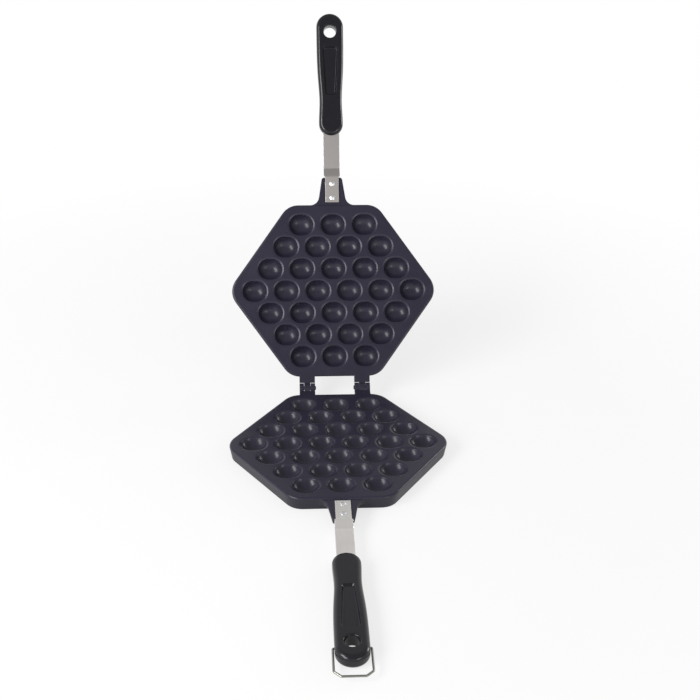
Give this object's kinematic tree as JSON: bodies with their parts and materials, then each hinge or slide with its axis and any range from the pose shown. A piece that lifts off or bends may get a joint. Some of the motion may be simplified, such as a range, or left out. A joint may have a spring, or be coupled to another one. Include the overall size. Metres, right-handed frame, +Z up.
{
  "type": "egg waffle pan",
  "caption": "Hinged hexagonal stove-top pan for baking egg waffles, with egg-shaped cells in both cast plates, long handles with bakelite grips and a wire bail that holds it shut.",
  "frame": {"origin": "on the surface that the pan stands on, under the middle of the lower plate", "axes": "+X along the hinge pins, +Y from the handles to the hinges, +Z up; the lid stands open"},
  "size_m": [0.2064, 0.5944, 0.3451],
  "materials": {
    "cast_plate": "die-cast aluminium under a dark non-stick coat with a soft sheen",
    "hinge_pin": "darkened steel pin",
    "strap": "rolled steel strip, satin",
    "rivet": "bright set rivet",
    "grip": "moulded black bakelite, glossy",
    "screw": "plated steel screw",
    "wire": "bright drawn steel wire"
  },
  "bodies": {
    "lower_half": {"lower_plate": "cast_plate", "left_hinge_pin": "hinge_pin", "right_hinge_pin": "hinge_pin", "lower_strap": "strap", "lower_inner_rivet": "rivet", "lower_outer_rivet": "rivet", "lower_grip": "grip", "lower_grip_screw": "screw"},
    "upper_half": {"upper_plate": "cast_plate", "upper_strap": "strap", "upper_inner_rivet": "rivet", "upper_outer_rivet": "rivet", "upper_grip": "grip", "upper_grip_screw": "screw"},
    "bail": {"bail": "wire"}
  },
  "joints": [
    {"name": "lid_hinge", "type": "hinge", "parent": "lower_half", "child": "upper_half", "pos_m": [0, 0.0991, 0.01405], "axis": [1, 0, 0], "range_deg": [0, 119.5]},
    {"name": "bail_pivot", "type": "hinge", "parent": "lower_half", "child": "bail", "pos_m": [0, -0.2663, 0.0053], "axis": [-1, 0, 0], "range_deg": [-165, 115]}
  ]
}
